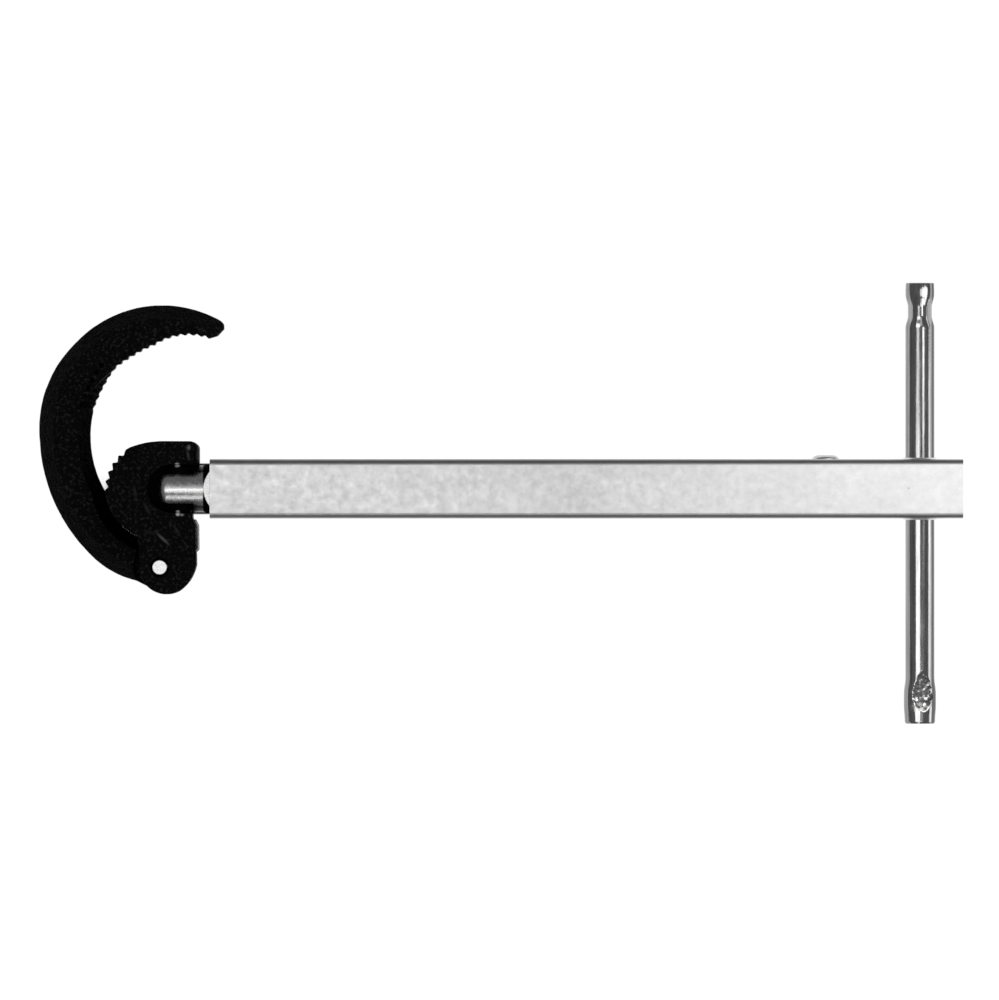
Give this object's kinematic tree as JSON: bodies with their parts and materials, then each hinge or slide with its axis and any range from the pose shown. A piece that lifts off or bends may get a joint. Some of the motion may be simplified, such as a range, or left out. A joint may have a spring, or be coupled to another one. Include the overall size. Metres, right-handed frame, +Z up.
{
  "type": "basin wrench",
  "caption": "Telescoping basin wrench: sprung toothed hook jaw on a swivelling head, square sliding shaft with button lock, and a sliding tee bar.",
  "frame": {"origin": "middle of the flat underside of the outer tube, the face the tool lies on", "axes": "+X along the handle from the jaw towards the tee bar, +Y towards the hook's tip, +Z up out of the plane of the hook"},
  "size_m": [0.2797, 0.1336, 0.018],
  "materials": {
    "plated_tube": "satin bright zinc plate",
    "plated_shaft": "turned and drawn, bright zinc plate",
    "button_steel": "satin zinc plate",
    "spring_steel": "drawn spring wire",
    "chromed_bar": "bright plated, fine drawing lines",
    "black_casting": "black oxide over sand-cast texture",
    "black_hook": "black oxide over forged texture",
    "steel_pin": "bright steel, flat ends",
    "bright_pin": "ground steel",
    "black_washer": "black oxide steel"
  },
  "bodies": {
    "handle": {"outer_tube": "plated_tube"},
    "tee": {"t_bar": "chromed_bar"},
    "shaft": {"inner_shaft": "plated_shaft", "button_spring": "spring_steel"},
    "button": {"lock_button": "button_steel"},
    "head": {"jaw_head": "black_casting", "hook_pivot_pin": "steel_pin", "hook_spring": "spring_steel", "swivel_pin": "bright_pin", "swivel_washer_upper": "black_washer", "swivel_washer_lower": "black_washer"},
    "hook": {"hook_jaw": "black_hook"}
  },
  "joints": [
    {"name": "tee_slide", "type": "slide", "parent": "handle", "child": "tee", "axis": [0, 1, 0], "range_m": [-0.04, 0.048]},
    {"name": "telescope", "type": "slide", "parent": "handle", "child": "shaft", "axis": [-1, 0, 0], "range_m": [0, 0.14]},
    {"name": "button_press", "type": "slide", "parent": "shaft", "child": "button", "axis": [0, -1, 0], "range_m": [0, 0.0031], "stiffness_N_per_m": 1500, "springref_m": -0.001, "deforming": ["button_spring"]},
    {"name": "head_swivel", "type": "hinge", "parent": "shaft", "child": "head", "pos_m": [-0.1234, 0, 0.009], "axis": [0, 1, 0], "range_deg": [-90, 90]},
    {"name": "hook_pivot", "type": "hinge", "parent": "head", "child": "hook", "pos_m": [-0.12916, -0.0238, 0.009], "axis": [0, 0, 1], "range_deg": [0, 42], "stiffness_Nm_per_rad": 0.25, "springref_deg": -34.38, "deforming": ["hook_spring"]}
  ]
}
